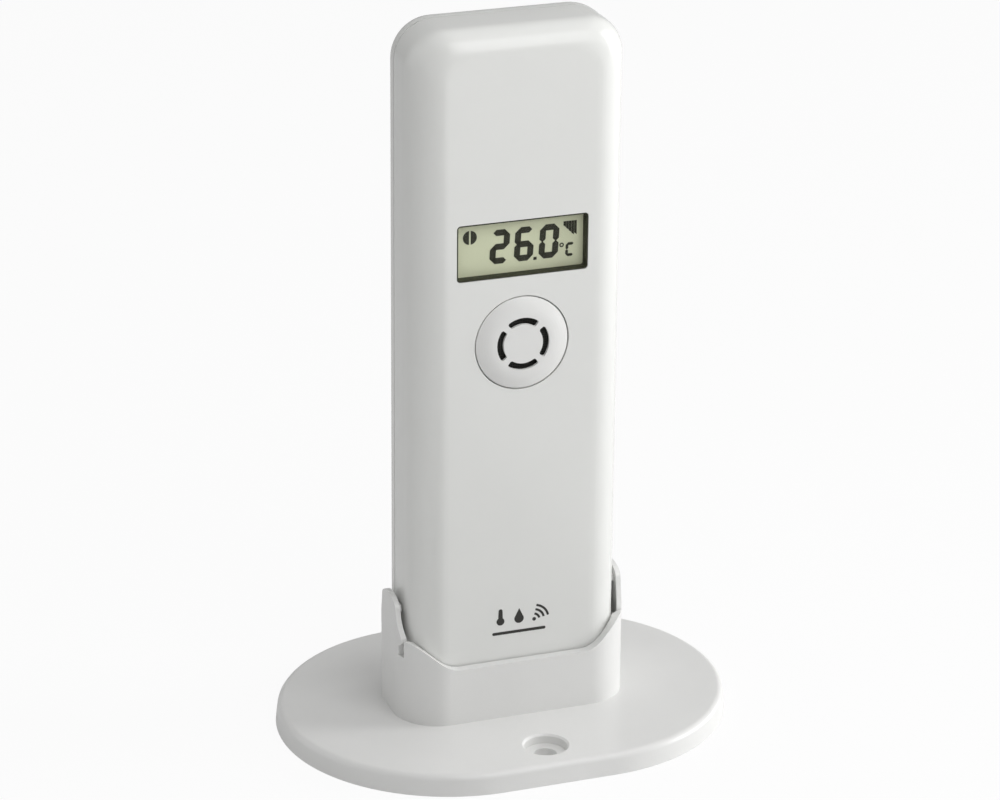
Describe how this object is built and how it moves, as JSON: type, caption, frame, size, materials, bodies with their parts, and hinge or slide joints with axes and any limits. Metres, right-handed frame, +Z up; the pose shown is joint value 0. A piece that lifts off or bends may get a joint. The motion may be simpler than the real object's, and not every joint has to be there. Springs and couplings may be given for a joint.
{
  "type": "wireless climate sensor",
  "caption": "Slim upright radio sensor with a small display and round vent, held in an oval plate with a snap-in holder for table or wall.",
  "frame": {"origin": "centre of the stand's underside", "axes": "+Z up, the display faces -Y, +X is to the right seen from the front"},
  "size_m": [0.0838, 0.063, 0.1324],
  "materials": {
    "stand_plastic": "satin off-white moulding",
    "case_plastic": "satin off-white moulding with a very fine grain",
    "vent_plastic": "satin off-white moulding",
    "black_fabric": "fine woven filter",
    "dark_plastic": "matt",
    "sensor_package": "white package with a small port",
    "window": "clear acrylic",
    "display_frame": "dark olive, matt",
    "lcd": "grey-green display glass with dark segments",
    "reflector": "pale reflector film",
    "zebra": "layered conductive strip",
    "board": "solder mask with tracks and pads",
    "chip_black": "moulded chip body",
    "plated_can": "plated can",
    "capacitor_sleeve": "printed sleeve",
    "copper_wire": "bare wire",
    "button_plastic": "grey",
    "cell_sleeve": "plain dark sleeve with a copper band",
    "contact_metal": "nickel-plated spring steel",
    "red_insulation": "insulation",
    "black_insulation": "insulation",
    "screw_steel": "zinc-plated cross-recess screw"
  },
  "bodies": {
    "stand": {"stand": "stand_plastic"},
    "battery_cover": {"battery_cover": "case_plastic"},
    "set_button": {"set_button": "button_plastic"},
    "sensor": {"front_shell": "case_plastic", "rear_shell": "case_plastic", "vent_cap": "vent_plastic", "dust_filter": "black_fabric", "sensor_duct": "dark_plastic", "humidity_sensor": "sensor_package", "display_window": "window", "display_frame": "display_frame", "lcd_panel": "lcd", "lcd_reflector": "reflector", "zebra_connector": "zebra", "circuit_board": "board", "microcontroller": "chip_black", "radio_chip": "chip_black", "quartz_crystal": "plated_can", "capacitor": "capacitor_sleeve", "antenna_coil": "copper_wire", "set_switch": "chip_black", "battery_left": "cell_sleeve", "battery_right": "cell_sleeve", "bridge_plate": "contact_metal", "bridge_spring": "contact_metal", "positive_plate": "contact_metal", "negative_plate": "contact_metal", "negative_spring": "contact_metal", "lead_red": "red_insulation", "lead_black": "black_insulation", "case_screws": "screw_steel", "board_screws": "screw_steel"}
  },
  "joints": [
    {"name": "sensor_lift", "type": "slide", "parent": "stand", "child": "sensor", "axis": [0, 0, 1], "range_m": [0, 0.05]},
    {"name": "cover_open", "type": "hinge", "parent": "sensor", "child": "battery_cover", "pos_m": [0, 0.0085, 0.018], "axis": [-1, 0, 0], "range_deg": [0, 75]},
    {"name": "button_press", "type": "slide", "parent": "sensor", "child": "set_button", "axis": [0, -1, 0], "range_m": [0, 0.0006], "stiffness_N_per_m": 600}
  ]
}
